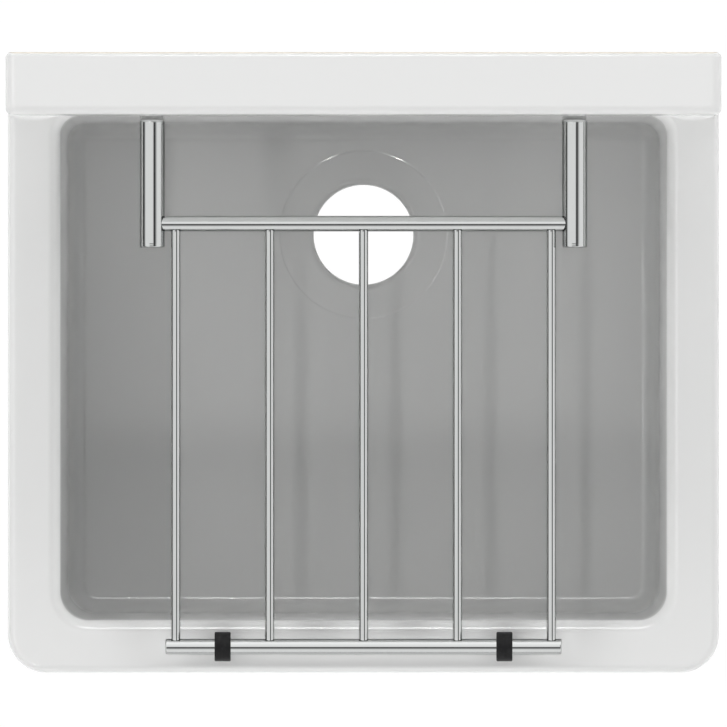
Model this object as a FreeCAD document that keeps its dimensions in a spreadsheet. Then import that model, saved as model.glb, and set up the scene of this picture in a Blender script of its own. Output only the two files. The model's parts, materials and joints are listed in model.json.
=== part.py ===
"""Wall-hung mop sink: a glazed fireclay bowl with a back panel, and a chromed grate that folds up.

Frame: millimetres, +X to the right, +Y towards the wall, +Z up. The origin lies on the wall plane,
midway between the two wall bolt holes. The grate lies flat over the bowl, at rest on its buffers.
"""
import FreeCAD, Part
import math
import os
import re

import Sketcher
from FreeCAD import Placement, Rotation, Vector

# Driving sizes, in millimetres. Each one is written once, here.
SIZES = {
    # Fireclay body
    "overall_width": 460,
    "overall_depth": 400,
    "rim_width": 34,
    "rim_thickness": 14,
    "skirt_wall": 12,
    "skirt_inset": 6,
    "skirt_below_floor": 36,
    "bowl_depth": 185,
    "bowl_wall": 10,
    "bowl_inset": 3.7,
    "floor_thickness": 14,
    "front_corner_radius": 25,
    "back_corner_radius": 5.5,
    "opening_front_radius": 18.5,
    "opening_back_radius": 12,
    "opening_edge_radius": 8,
    "outer_edge_radius": 5,
    "floor_radius": 12,
    # Back panel
    "panel_height": 140,
    "panel_depth": 40,
    "panel_wall": 12,
    "panel_top_wall": 14,
    "bolt_above_rim": 75,
    "bolt_spacing": 280,
    "bolt_hole_diameter": 14,
    "bolt_boss_diameter": 44,
    # Drain
    "drain_diameter": 65,
    "drain_from_wall": 116,
    "dish_diameter": 107,
    "dish_depth": 1,
    "drain_boss_diameter": 96,
    "drain_boss_height": 8,
    # Grate
    "buffer_diameter": 19,
    "buffer_width": 10.4,
    "buffer_edge_radius": 1,
    "rest_gap": 0.2,
    "pivot_from_wall": 109.6,
    "tube_diameter": 10,
    "tube_wall": 1.5,
    "tube_overhang": 6.6,
    "plug_depth": 8,
    "bar_diameter": 6,
    "bar_to_arm": 7.1,
    "bar_count": 5,
    # Arms
    "arm_spacing": 273,
    "arm_diameter": 16,
    "arm_wall": 1.5,
    "arm_overrun": 15.4,
    "cap_thickness": 2,
    "cap_spigot": 4,
    "cap_chamfer": 0.8,
    "insert_length": 22,
    # Hinge
    "pin_diameter": 6,
    "pin_reach": 8.5,
    "pin_shank": 20,
    "pin_clearance": 0.05,
    "tube_hole_clearance": 0.3,
    "end_play": 0.5,
    "pin_bottom_gap": 0.5,
    # Fasteners through the panel
    "stud_diameter": 8,
    "stud_engagement": 16,
    "stud_past_nut": 3,
    "stud_hole_diameter": 12,
    "seal_thickness": 2,
    "back_seal_diameter": 26,
    "washer_diameter": 24,
    "washer_thickness": 2,
    "nut_across_flats": 13,
    "nut_height": 6.5,
    "thread_clearance": 0.05,
}

# Sizes that follow from the driving ones.
DERIVED = {
    "rim_level": "-bolt_above_rim",
    "panel_top": "rim_level + panel_height",
    "half_width": "overall_width / 2",
    "floor_level": "rim_level - bowl_depth",
    "floor_underside": "floor_level - floor_thickness",
    "base_level": "floor_underside - skirt_below_floor",
    "opening_half": "half_width - rim_width",
    "opening_front": "-overall_depth + rim_width",
    "opening_back": "-panel_depth",
    "past_wall": "panel_depth",
    "arm_level": "rim_level + buffer_diameter / 2 + rest_gap",
    "arm_x": "arm_spacing / 2",
    "arm_radius": "arm_diameter / 2",
    "arm_bore_radius": "arm_radius - arm_wall",
    "arm_back": "panel_depth + seal_thickness",
    "arm_end": "pivot_from_wall + arm_overrun",
    "arm_tube_end": "arm_end - cap_thickness",
    "bearing_half": "arm_overrun - cap_thickness - cap_spigot",
    "tube_radius": "tube_diameter / 2",
    "tube_bore_radius": "tube_radius - tube_wall",
    "tube_hole_radius": "tube_radius + tube_hole_clearance",
    "pivot_end": "arm_x - sqrt(arm_radius^2 - tube_hole_radius^2) + end_play",
    "pin_radius": "pin_diameter / 2",
    "pin_hole_radius": "pin_radius + pin_clearance",
    "pin_tip": "pivot_end + pin_reach",
    "bar_radius": "bar_diameter / 2",
    "bar_pitch": "(arm_spacing - arm_diameter - 2 * bar_to_arm) / (bar_count - 1)",
    "front_tube_from_wall": "overall_depth - rim_width / 2",
    "front_tube_half": "bar_pitch * (bar_count - 1) / 2 + tube_overhang",
    "buffer_x": "bar_pitch * (bar_count - 2) / 2",
    "stud_radius": "stud_diameter / 2",
    "stud_clear_radius": "stud_radius + thread_clearance",
    "panel_inner": "panel_depth - panel_wall",
    "nut_back": "panel_inner - seal_thickness - washer_thickness - nut_height",
    "stud_back": "nut_back - stud_past_nut",
    "stud_front": "arm_back + stud_engagement",
}

doc = FreeCAD.newDocument("mop_sink")
sheet = doc.addObject("Spreadsheet::Sheet", "Sizes")
for row, (alias, number) in enumerate(SIZES.items(), start=1):
    sheet.set(f"A{row}", alias)
    sheet.set(f"B{row}", str(number))
    sheet.setAlias(f"B{row}", alias)
doc.recompute()


def formula(text):
    """The text with every size replaced by its cell, and every derived size by its own formula."""
    def swap(match):
        word = match.group()
        if word in DERIVED:
            return f"({formula(DERIVED[word])})"
        return f"Sizes.{word}" if word in SIZES else word
    return re.sub(r"[a-z_]+", swap, str(text))


def number(text):
    """The present value of a formula, in millimetres."""
    found = sheet.evalExpression(formula(text))
    return float(getattr(found, "Value", found))


def bind(thing, **properties):
    """Binds properties of a document object to formulas; a double underscore stands for a dot."""
    for name, text in properties.items():
        thing.setExpression(name.replace("__", "."), formula(text))
    return thing


def place(thing, x="0", y="0", z="0"):
    return bind(thing, Placement__Base__x=x, Placement__Base__y=y, Placement__Base__z=z)


# Sketches

def plane_of(body, role):
    return next(f for f in body.Origin.OriginFeatures if f.Role == role)


def new_sketch(body, name, role, offset="0"):
    """A sketch on one of the body's own origin planes, moved along that plane's normal."""
    sketch = body.newObject("Sketcher::SketchObject", name)
    sketch.AttachmentSupport = (plane_of(body, role), "")
    sketch.MapMode = "FlatFace"
    bind(sketch, AttachmentOffset__Base__z=offset)
    return sketch


def pin_point(sketch, geometry, point, x=None, y=None):
    """Fixes a point's distances from the sketch origin to formulas."""
    for kind, text in (("DistanceX", x), ("DistanceY", y)):
        if text is not None:
            index = sketch.addConstraint(
                Sketcher.Constraint(kind, -1, 1, geometry, point, number(text)))
            sketch.setExpression(f"Constraints[{index}]", formula(text))


def polygon(sketch, corners):
    """A closed outline of straight lines through corners given as pairs of formulas."""
    points = [Vector(number(x), number(y), 0) for x, y in corners]
    lines = [sketch.addGeometry(Part.LineSegment(a, b))
             for a, b in zip(points, points[1:] + points[:1])]
    for one, following in zip(lines, lines[1:] + lines[:1]):
        sketch.addConstraint(Sketcher.Constraint("Coincident", one, 2, following, 1))
    for line, (x, y) in zip(lines, corners):
        pin_point(sketch, line, 1, x, y)


def circle(sketch, radius, x="0", y="0"):
    index = sketch.addGeometry(
        Part.Circle(Vector(number(x), number(y), 0), Vector(0, 0, 1), number(radius)))
    pin_point(sketch, index, 3, x, y)
    size = sketch.addConstraint(Sketcher.Constraint("Radius", index, number(radius)))
    sketch.setExpression(f"Constraints[{size}]", formula(radius))


def rounded_outline(sketch, half, front, back, front_radius, back_radius):
    """A rectangle about the Y axis, with rounded corners, from its front edge to its back edge."""
    w, f, b = number(half), number(front), number(back)
    corners = [(-w, f, 1, 1, front_radius, 180), (w, f, -1, 1, front_radius, 270),
               (w, b, -1, -1, back_radius, 0), (-w, b, 1, -1, back_radius, 90)]
    arcs = []
    for x, y, to_x, to_y, radius, start in corners:
        r = number(radius)
        centre = Vector(x + to_x * r, y + to_y * r, 0)
        ring = Part.Circle(centre, Vector(0, 0, 1), r)
        first = math.radians(start)
        arcs.append(sketch.addGeometry(Part.ArcOfCircle(ring, first, first + math.pi / 2)))
    ends = [sketch.Geometry[a] for a in arcs]
    sides = [sketch.addGeometry(Part.LineSegment(one.EndPoint, following.StartPoint))
             for one, following in zip(ends, ends[1:] + ends[:1])]
    for i, side in enumerate(sides):
        sketch.addConstraint(Sketcher.Constraint("Tangent", arcs[i], 2, side, 1))
        sketch.addConstraint(Sketcher.Constraint("Tangent", side, 2, arcs[(i + 1) % 4], 1))
        sketch.addConstraint(Sketcher.Constraint("Vertical" if i % 2 else "Horizontal", side))
    pin_point(sketch, sides[0], 1, y=front)
    pin_point(sketch, sides[1], 1, x=half)
    pin_point(sketch, sides[2], 1, y=back)
    pin_point(sketch, sides[3], 1, x=f"-({half})")
    for arc, corner in zip(arcs, corners):
        size = sketch.addConstraint(Sketcher.Constraint("Radius", arc, number(corner[4])))
        sketch.setExpression(f"Constraints[{size}]", formula(corner[4]))


# PartDesign features

def new_body(label):
    body = doc.addObject("PartDesign::Body", label)
    body.Label = label
    return body


def extruded(body, kind, name, sketch, length, backwards=False):
    """A Pad or a Pocket of the sketch."""
    feature = body.newObject(f"PartDesign::{kind}", name)
    feature.Profile = sketch
    feature.Reversed = backwards
    bind(feature, Length=length)
    doc.recompute()
    return feature


def lofted(body, kind, name, levels):
    """A ruled loft through rounded outlines; each level is a height and the outline's sizes."""
    sketches = []
    for i, (height, *outline) in enumerate(levels):
        sketch = new_sketch(body, f"{name}_outline_{i}", "XY_Plane", height)
        rounded_outline(sketch, *outline)
        sketches.append(sketch)
    doc.recompute()
    feature = body.newObject(f"PartDesign::{kind}", name)
    feature.Profile = sketches[0]
    feature.Sections = sketches[1:]
    feature.Ruled = True
    doc.recompute()
    return feature


def dressed(body, kind, name, wanted, radius):
    """A Fillet or a Chamfer on the edges of the body's tip whose middle points are wanted."""
    tip = body.Tip
    names = []
    for i, edge in enumerate(tip.Shape.Edges, start=1):
        middle = edge.valueAt((edge.FirstParameter + edge.LastParameter) / 2)
        if wanted(middle):
            names.append(f"Edge{i}")
    feature = body.newObject(f"PartDesign::{kind}", name)
    feature.Base = (tip, names)
    bind(feature, **{"Radius" if kind == "Fillet" else "Size": radius})
    doc.recompute()
    return feature


def turned(label, corners, along, x="0", y="0", z="0"):
    """A body turned about its own axis; corners are pairs of distance along the axis and radius."""
    body = new_body(label)
    sketch = new_sketch(body, f"{label}_profile", "XY_Plane")
    polygon(sketch, corners)
    feature = body.newObject("PartDesign::Revolution", f"{label}_turning")
    feature.Profile = sketch
    feature.ReferenceAxis = (sketch, ["H_Axis"])
    feature.Angle = 360
    body.Placement = Placement(Vector(), along)
    return place(body, x, y, z)


# Part primitives

ALONG_X = Rotation(Vector(0, 1, 0), 90)
ALONG_Y = Rotation(Vector(1, 0, 0), -90)


def rod(name, radius, length, along, x="0", y="0", z="0"):
    """A cylinder that starts at the given point and runs along +X or +Y."""
    made = doc.addObject("Part::Cylinder", name)
    bind(made, Radius=radius, Height=length)
    made.Placement = Placement(Vector(), along)
    return place(made, x, y, z)


def cut(label, base, tool):
    made = doc.addObject("Part::Cut", label)
    made.Label = label
    made.Base = base
    made.Tool = tool
    return made


def pair(label, left, right):
    """Two like pieces as one node of two separate solids."""
    made = doc.addObject("Part::Compound", label)
    made.Label = label
    made.Links = [left, right]
    return made


def about(value, target, room=0.5):
    return abs(value - target) < room


def make_basin():
    """The fireclay body: skirt, rim, bowl and back panel in one casting, open at the back and below."""
    body = new_body("basin")
    rim, half, depth = number("rim_level"), number("half_width"), number("overall_depth")
    lofted(body, "AdditiveLoft", "block", [
        ("rim_level", "half_width", "-overall_depth", "0",
         "front_corner_radius", "back_corner_radius"),
        ("base_level", "half_width - skirt_inset", "-overall_depth + skirt_inset", "0",
         "front_corner_radius", "back_corner_radius")])
    lofted(body, "SubtractiveLoft", "skirt_hollow", [
        ("rim_level - rim_thickness", "half_width - skirt_wall", "-overall_depth + skirt_wall",
         "past_wall", "front_corner_radius - skirt_wall", "back_corner_radius"),
        ("base_level", "half_width - skirt_inset - skirt_wall",
         "-overall_depth + skirt_inset + skirt_wall",
         "past_wall", "front_corner_radius - skirt_wall", "back_corner_radius")])
    lofted(body, "AdditiveLoft", "bowl_outside", [
        ("rim_level - rim_thickness / 2", "opening_half + bowl_wall", "opening_front - bowl_wall",
         "opening_back + panel_wall", "opening_front_radius + bowl_wall",
         "opening_back_radius + bowl_wall"),
        ("floor_underside", "opening_half - bowl_inset + bowl_wall",
         "opening_front + bowl_inset - bowl_wall", "opening_back - bowl_inset + panel_wall",
         "opening_front_radius + bowl_wall", "opening_back_radius + bowl_wall")])
    lofted(body, "SubtractiveLoft", "bowl_inside", [
        ("rim_level", "opening_half", "opening_front", "opening_back",
         "opening_front_radius", "opening_back_radius"),
        ("floor_level", "opening_half - bowl_inset", "opening_front + bowl_inset",
         "opening_back - bowl_inset", "opening_front_radius", "opening_back_radius")])
    floor, front, back = number("floor_level"), number("opening_front"), number("opening_back")
    dressed(body, "Fillet", "floor_rounding",
            lambda p: about(p.z, floor) and front < p.y < back, "floor_radius")
    dressed(body, "Fillet", "opening_rounding",
            lambda p: about(p.z, rim) and abs(p.x) < number("opening_half + rim_width / 2")
            and number("opening_front - rim_width / 2") < p.y < number("opening_back / 2"),
            "opening_edge_radius")
    dressed(body, "Fillet", "outer_rounding",
            lambda p: about(p.z, rim) and (abs(p.x) > half - number("outer_edge_radius")
            or p.y < -depth + number("front_corner_radius")), "outer_edge_radius")
    add_panel(body)
    add_drain(body)
    return body


def add_panel(body):
    """The back panel above the rim, its hollow, the two bolt bosses and the holes through it."""
    top = number("panel_top")
    outline = new_sketch(body, "panel_outline", "XY_Plane", "rim_level - opening_edge_radius")
    rounded_outline(outline, "half_width", "-panel_depth", "0",
                    "back_corner_radius", "back_corner_radius")
    extruded(body, "Pad", "panel", outline, "panel_height + opening_edge_radius")
    dressed(body, "Fillet", "panel_rounding", lambda p: about(p.z, top), "outer_edge_radius")
    hollow = new_sketch(body, "panel_hollow_outline", "XZ_Plane")
    low, high = "rim_level - rim_thickness * 2", "panel_top - panel_top_wall"
    side = "half_width - skirt_wall"
    polygon(hollow, [(f"-({side})", low), (side, low), (side, high), (f"-({side})", high)])
    extruded(body, "Pocket", "panel_hollow", hollow, "panel_inner", backwards=True)
    for name, sign in (("left", "-"), ("right", "")):
        boss = new_sketch(body, f"{name}_bolt_boss_outline", "XZ_Plane")
        circle(boss, "bolt_boss_diameter / 2", f"{sign}bolt_spacing / 2", "0")
        extruded(body, "Pad", f"{name}_bolt_boss", boss, "panel_depth - panel_wall / 2")
        bolt = new_sketch(body, f"{name}_bolt_hole_outline", "XZ_Plane")
        circle(bolt, "bolt_hole_diameter / 2", f"{sign}bolt_spacing / 2", "0")
        extruded(body, "Pocket", f"{name}_bolt_hole", bolt, "panel_depth * 2", backwards=True)
        stud = new_sketch(body, f"{name}_stud_hole_outline", "XZ_Plane")
        circle(stud, "stud_hole_diameter / 2", f"{sign}arm_x", "arm_level")
        extruded(body, "Pocket", f"{name}_stud_hole", stud, "panel_depth * 2", backwards=True)


def add_drain(body):
    """The boss under the floor, the shallow dish round the drain, and the drain hole."""
    boss = new_sketch(body, "drain_boss_outline", "XY_Plane", "floor_underside - drain_boss_height")
    circle(boss, "drain_boss_diameter / 2", "0", "-drain_from_wall")
    extruded(body, "Pad", "drain_boss", boss, "drain_boss_height + floor_thickness / 2")
    dish = new_sketch(body, "dish_profile", "YZ_Plane")
    axis, edge = "-drain_from_wall", "-drain_from_wall - dish_diameter / 2"
    bore = "-drain_from_wall - drain_diameter / 2"
    through = "floor_underside - drain_boss_height - floor_thickness"
    polygon(dish, [(axis, through), (bore, through), (bore, "floor_level - dish_depth"),
                   (edge, "floor_level"), (edge, "floor_level + dish_depth"),
                   (axis, "floor_level + dish_depth")])
    spindle = dish.addGeometry(Part.LineSegment(
        Vector(number(axis), number(through), 0), Vector(number(axis), number("rim_level"), 0)), True)
    dish.addConstraint(Sketcher.Constraint("Vertical", spindle))
    pin_point(dish, spindle, 1, axis, through)
    pin_point(dish, spindle, 2, y="rim_level")
    feature = body.newObject("PartDesign::Groove", "drain_dish")
    feature.Profile = dish
    feature.ReferenceAxis = (dish, ["Axis0"])
    feature.Angle = 360
    doc.recompute()


def make_arm(side, sign):
    """One grate arm: chromed tube, end cap, bearing and threaded insert, with its fixing to the panel."""
    x = f"{sign}arm_x"
    inward = -1 if sign == "" else 1
    length = "arm_tube_end - arm_back"
    tube = cut(f"{side}_arm_bored",
               rod(f"{side}_arm_outside", "arm_radius", length, ALONG_Y, x, "-arm_tube_end", "arm_level"),
               rod(f"{side}_arm_inside", "arm_bore_radius", length, ALONG_Y, x, "-arm_tube_end",
                   "arm_level"))
    start = x if inward > 0 else f"{x} - arm_diameter"
    arm = cut(f"{side}_arm", tube,
              rod(f"{side}_arm_side_hole", "tube_hole_radius", "arm_diameter", ALONG_X, start,
                  "-pivot_from_wall", "arm_level"))

    bore = "arm_bore_radius - thread_clearance"
    cap = turned(f"{side}_arm_cap", [
        ("0", "0"), ("0", "arm_radius - cap_chamfer"), ("cap_chamfer", "arm_radius"),
        ("cap_thickness", "arm_radius"), ("cap_thickness", bore),
        ("cap_thickness + cap_spigot", bore), ("cap_thickness + cap_spigot", "0")],
        Rotation(Vector(0, 0, 1), 90), x, "-arm_end", "arm_level")

    blank = rod(f"{side}_bearing_blank", bore, "2 * bearing_half", ALONG_Y, x,
                "-pivot_from_wall - bearing_half", "arm_level")
    seat = "pivot_end + end_play"
    seat_start = f"{seat} - arm_diameter" if inward < 0 else f"-({seat})"
    spotted = cut(f"{side}_bearing_spotted", blank,
                  rod(f"{side}_bearing_seat", "tube_hole_radius", "arm_diameter", ALONG_X, seat_start,
                      "-pivot_from_wall", "arm_level"))
    hole_end = "pin_tip + pin_bottom_gap"
    hole_start = f"{hole_end} - arm_diameter" if inward < 0 else f"-({hole_end})"
    bearing = cut(f"{side}_bearing", spotted,
                  rod(f"{side}_bearing_hole", "pin_hole_radius", "arm_diameter", ALONG_X, hole_start,
                      "-pivot_from_wall", "arm_level"))

    insert = cut(f"{side}_arm_insert",
                 rod(f"{side}_insert_outside", bore, "insert_length", ALONG_Y, x,
                     "-arm_back - insert_length", "arm_level"),
                 rod(f"{side}_insert_thread", "stud_clear_radius", "insert_length", ALONG_Y, x,
                     "-arm_back - insert_length", "arm_level"))
    return [arm, cap, bearing, insert] + make_fixing(side, x)


def make_fixing(side, x):
    """The stud through the panel, the seal in front of it, and the seal, washer and nut behind it."""
    stud = rod(f"{side}_stud", "stud_radius", "stud_front - stud_back", ALONG_Y, x, "-stud_front",
               "arm_level")
    front_seal = washer(f"{side}_arm_seal", "arm_radius - arm_wall / 2", "stud_clear_radius",
                        "seal_thickness", x, "-arm_back")
    back_seal = washer(f"{side}_back_seal", "back_seal_diameter / 2", "stud_clear_radius",
                       "seal_thickness", x, "-panel_inner")
    plate = washer(f"{side}_washer", "washer_diameter / 2", "stud_clear_radius",
                   "washer_thickness", x, "-panel_inner + seal_thickness")
    blank = doc.addObject("Part::Prism", f"{side}_nut_blank")
    blank.Polygon = 6
    bind(blank, Circumradius="nut_across_flats / sqrt(3)", Height="nut_height")
    blank.Placement = Placement(Vector(), ALONG_Y)
    place(blank, x, "-nut_back - nut_height", "arm_level")
    nut = cut(f"{side}_nut", blank,
              rod(f"{side}_nut_thread", "stud_clear_radius", "nut_height", ALONG_Y, x,
                  "-nut_back - nut_height", "arm_level"))
    return [stud, front_seal, back_seal, plate, nut]


def washer(label, outside, inside, thickness, x, y):
    return cut(label, rod(f"{label}_outside", outside, thickness, ALONG_Y, x, y, "arm_level"),
               rod(f"{label}_inside", inside, thickness, ALONG_Y, x, y, "arm_level"))


def tube(label, half_length, from_wall):
    """A tube along X, centred on the sink."""
    return cut(label,
               rod(f"{label}_outside", "tube_radius", f"2 * ({half_length})", ALONG_X,
                   f"-({half_length})", f"-{from_wall}", "arm_level"),
               rod(f"{label}_inside", "tube_bore_radius", f"2 * ({half_length})", ALONG_X,
                   f"-({half_length})", f"-{from_wall}", "arm_level"))


def make_bar(index):
    """One grate bar, coped at both ends to sit against the two tubes."""
    label = f"bar_{index + 1}"
    x = f"bar_pitch * ({index} - (bar_count - 1) / 2)"
    made = rod(f"{label}_stock", "bar_radius", "front_tube_from_wall - pivot_from_wall", ALONG_Y, x,
               "-front_tube_from_wall", "arm_level")
    for end, from_wall in (("back", "pivot_from_wall"), ("front", "front_tube_from_wall")):
        cope = rod(f"{label}_{end}_cope", "tube_radius", "2 * bar_diameter", ALONG_X,
                   f"{x} - bar_diameter", f"-{from_wall}", "arm_level")
        made = cut(label if end == "front" else f"{label}_{end}", made, cope)
    return made


def make_grate_end(side, along, sign):
    """What closes the two tubes on one side: the pivot pin, the front plug, and the buffer ring."""
    pin = turned(f"{side}_pivot_pin", [
        ("0", "0"), ("0", "pin_radius"), ("pin_reach", "pin_radius"),
        ("pin_reach", "tube_bore_radius"), ("pin_reach + pin_shank", "tube_bore_radius"),
        ("pin_reach + pin_shank", "0")],
        along, f"{sign}pin_tip", "-pivot_from_wall", "arm_level")
    plug = turned(f"{side}_tube_plug", [
        ("0", "0"), ("0", "tube_bore_radius"), ("plug_depth", "tube_bore_radius"), ("plug_depth", "0")],
        along, f"{sign}front_tube_half", "-front_tube_from_wall", "arm_level")
    outside, edge = "buffer_diameter / 2", "buffer_edge_radius"
    buffer = turned(f"{side}_buffer", [
        ("0", "tube_radius"), ("0", outside), ("buffer_width", outside), ("buffer_width", "tube_radius")],
        along, f"{sign}(buffer_x + buffer_width / 2)", "-front_tube_from_wall", "arm_level")
    doc.recompute()
    rim = number(outside)
    dressed(buffer, "Fillet", f"{side}_buffer_rounding",
            lambda p: about(math.hypot(p.y, p.z), rim, 0.01) and not
            about(p.x, number("buffer_width / 2"), 0.01), edge)
    return [pin, plug, buffer]


def make_all():
    pieces = [make_basin()]
    left = make_arm("left", "-")
    right = make_arm("right", "")
    pieces += left[:6] + right[:6]
    for i, label in ((6, "back_seals"), (7, "stud_washers"), (8, "stud_nuts")):
        pieces.append(pair(label, left[i], right[i]))
    pieces.append(tube("pivot_tube", "pivot_end", "pivot_from_wall"))
    pieces.append(tube("front_tube", "front_tube_half", "front_tube_from_wall"))
    pieces += [make_bar(i) for i in range(round(number("bar_count")))]
    pieces += make_grate_end("left", Rotation(), "-")
    pieces += make_grate_end("right", Rotation(Vector(0, 0, 1), 180), "")
    doc.recompute()
    return pieces


def check(pieces):
    """Stops the build if any object failed, or any piece is empty or not a valid solid."""
    for thing in doc.Objects:
        bad = [s for s in thing.State if s in ("Invalid", "Error")]
        if bad:
            raise RuntimeError(f"{thing.Label} is {bad}")
    for piece in pieces:
        if piece.Shape.isNull() or not piece.Shape.isValid() or not piece.Shape.Solids:
            raise RuntimeError(f"{piece.Label} has no valid solid")


pieces = make_all()
check(pieces)
os.makedirs("parts", exist_ok=True)
for piece in pieces:
    piece.Shape.exportStep(f"parts/{piece.Label}.step")
    print(f"{piece.Label:20s} solids {len(piece.Shape.Solids)}  volume {piece.Shape.Volume:12.1f} mm3")
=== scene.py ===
# %% [markdown]
# # A wall-hung mop sink with a folding bucket grate
# The real thing is one heavy fireclay casting, glazed white, with a chromed grate hinged on two arms.
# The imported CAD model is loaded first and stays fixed: it says where everything is, in metres, with
# X to the right, Y towards the wall and Z up. The cells below dress it piece by piece.

# %% Load the fixed frame
import json
import math

import bmesh
import bpy
import numpy as np
from mathutils import Matrix, Vector


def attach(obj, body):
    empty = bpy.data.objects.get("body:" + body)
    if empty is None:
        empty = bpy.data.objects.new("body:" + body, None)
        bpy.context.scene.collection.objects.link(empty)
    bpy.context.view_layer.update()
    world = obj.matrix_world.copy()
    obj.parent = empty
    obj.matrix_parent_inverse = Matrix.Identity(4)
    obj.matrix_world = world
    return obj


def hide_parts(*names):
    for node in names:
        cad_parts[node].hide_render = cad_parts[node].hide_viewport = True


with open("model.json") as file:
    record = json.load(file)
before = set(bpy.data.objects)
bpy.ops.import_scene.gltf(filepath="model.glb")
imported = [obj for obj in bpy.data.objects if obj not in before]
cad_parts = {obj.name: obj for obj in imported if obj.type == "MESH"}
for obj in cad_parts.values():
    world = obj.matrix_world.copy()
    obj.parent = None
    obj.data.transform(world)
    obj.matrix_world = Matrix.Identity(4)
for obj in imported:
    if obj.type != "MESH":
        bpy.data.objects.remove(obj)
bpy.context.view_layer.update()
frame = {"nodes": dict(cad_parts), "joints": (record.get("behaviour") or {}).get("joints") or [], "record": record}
scene = bpy.context.scene
scene.view_settings.view_transform = "Standard"
MM = 0.001
hinge = frame["joints"][0]["pos_m"]
PIVOT_Y, GRATE_Z = hinge[1] / MM, hinge[2] / MM

# %% [markdown]
# ## Light that bounces
# A white bowl is full of light that has bounced many times, and near its floor the glaze mirrors itself
# again and again. Cycles gives up after a few bounces, which would leave a dark line round the floor, so
# it is allowed more of them.

# %% More bounces
BOUNCES = 24
scene.cycles.max_bounces = BOUNCES
scene.cycles.diffuse_bounces = BOUNCES
scene.cycles.glossy_bounces = BOUNCES
print("up to", BOUNCES, "bounces")

# %% [markdown]
# ## Camera
# The photograph looks straight down and shows no perspective. An orthographic camera would be exact,
# but a very long lens from far above is nearly the same, and it still frames the object in other views.

# %% Camera straight above, with a very long lens
LENS, SENSOR = 1640.0, 36.0
SHOWN_WIDTH = 0.4701  # metres across the picture, at the rim
RIM_Z, MIDDLE_Y = -75.0, -200.0
reach = SHOWN_WIDTH * LENS / SENSOR
camera_data = bpy.data.cameras.new("camera")
camera_data.lens, camera_data.sensor_width = LENS, SENSOR
camera_data.clip_end = reach * 2
camera = bpy.data.objects.new("camera", camera_data)
camera.location = (0, MIDDLE_Y * MM, RIM_Z * MM + reach)
scene.collection.objects.link(camera)
scene.camera = camera
print("camera", round(reach, 2), "m above the rim")

# %% [markdown]
# ## Shader sums
# Finishes need a lot of small sums, such as one minus a mask. Instead of wiring Math nodes by hand, a
# socket is wrapped in a class, so that an ordinary Python expression adds the nodes.

# %% A socket that can be used in sums
class Wire:
    """An output socket. Each operator adds one Math node to the socket's own graph."""

    def __init__(self, graph, socket):
        self.graph, self.socket = graph, socket

    def maths(self, operation, first, second):
        return self.graph.node("ShaderNodeMath", {"operation": operation}, {0: first, 1: second})

    def __add__(self, other):
        return self.maths("ADD", self, other)

    def __radd__(self, other):
        return self.maths("ADD", other, self)

    def __sub__(self, other):
        return self.maths("SUBTRACT", self, other)

    def __rsub__(self, other):
        return self.maths("SUBTRACT", other, self)

    def __mul__(self, other):
        return self.maths("MULTIPLY", self, other)

    def __rmul__(self, other):
        return self.maths("MULTIPLY", other, self)

    def either(self, other):
        """The larger of two values, which joins two masks."""
        return self.maths("MAXIMUM", self, other)

    def angle(self, other):
        """The angle from the other part of a direction towards this one."""
        return self.maths("ARCTAN2", self, other)

    def eased(self, start, end):
        """0 below start, 1 above end, and a smooth rise between them."""
        return self.graph.node("ShaderNodeMapRange", {"interpolation_type": "SMOOTHSTEP", "clamp": True},
                               {"Value": self, "From Min": start, "From Max": end})

    def other(self, name):
        """Another output of the same node."""
        return Wire(self.graph, self.socket.node.outputs[name])


print("a wire can do: + - * either angle eased other")

# %% [markdown]
# ## All other nodes
# Everything that isn't a sum comes from one method. It makes a node, sets its settings first, because
# some of them change its sockets, and then fills the sockets with numbers or with wires.

# %% A node tree
class Graph:
    """The node tree of one finish, or of the world."""

    def __init__(self, tree):
        self.tree = tree
        tree.nodes.clear()

    def node(self, kind, settings=None, sockets=None, out=0):
        """One node. It gives back the wanted output, if the node has any."""
        made = self.tree.nodes.new(kind)
        for name, value in (settings or {}).items():
            setattr(made, name, value)
        for key, value in (sockets or {}).items():
            if isinstance(value, Wire):
                self.tree.links.new(value.socket, made.inputs[key])
            else:
                made.inputs[key].default_value = value
        return Wire(self, made.outputs[out]) if made.outputs else None

    def place(self):
        """Where a point lies on the object, in metres."""
        return self.node("ShaderNodeTexCoord", None, None, "Object")

    def noise(self, where, scale, detail=2.0, rough=0.5):
        """Soft random spots. A larger scale makes them smaller."""
        return self.node("ShaderNodeTexNoise", None,
                         {"Vector": where, "Scale": scale, "Detail": detail, "Roughness": rough})

    def blend(self, share, first, second):
        """A colour between two colours."""
        return self.node("ShaderNodeMix", {"data_type": "RGBA"},
                         {"Factor": share, 6: first, 7: second}, 2)

    def relief(self, height, strength, distance):
        """A normal that is tilted by small heights."""
        return self.node("ShaderNodeBump", None,
                         {"Strength": strength, "Distance": distance, "Height": height})


print("a graph can do: node place noise blend relief")

# %% [markdown]
# ## A finish
# Each finish is one material. Its node tree ends in the Principled shader, which can be glaze, clay, metal
# or rubber, depending on what is plugged in. Only the sockets that differ from its usual values are named.

# %% A new finish and its shader
def new_finish(name):
    """A material with an empty node tree."""
    material = bpy.data.materials.new(name)
    material.use_nodes = True
    return material, Graph(material.node_tree)


def surface(graph, **sockets):
    """The finish's shader: sockets are written with underscores for spaces."""
    plugs = {name.replace("_", " "): value for name, value in sockets.items()}
    shader = graph.node("ShaderNodeBsdfPrincipled", None, plugs)
    graph.node("ShaderNodeOutputMaterial", None, {"Surface": shader})


print("materials before any finish:", len(bpy.data.materials))

# %% [markdown]
# ## White glaze
# Sanitary glaze is a thick, clear-white glass, fired on to the clay. It is smooth enough to show a lamp
# as a thin line, but never quite even. A cloud of noise shifts its colour and its gloss a little, and a
# very faint wave lies in the normal. Noise needs no picture, and it doesn't stretch round corners.

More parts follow.
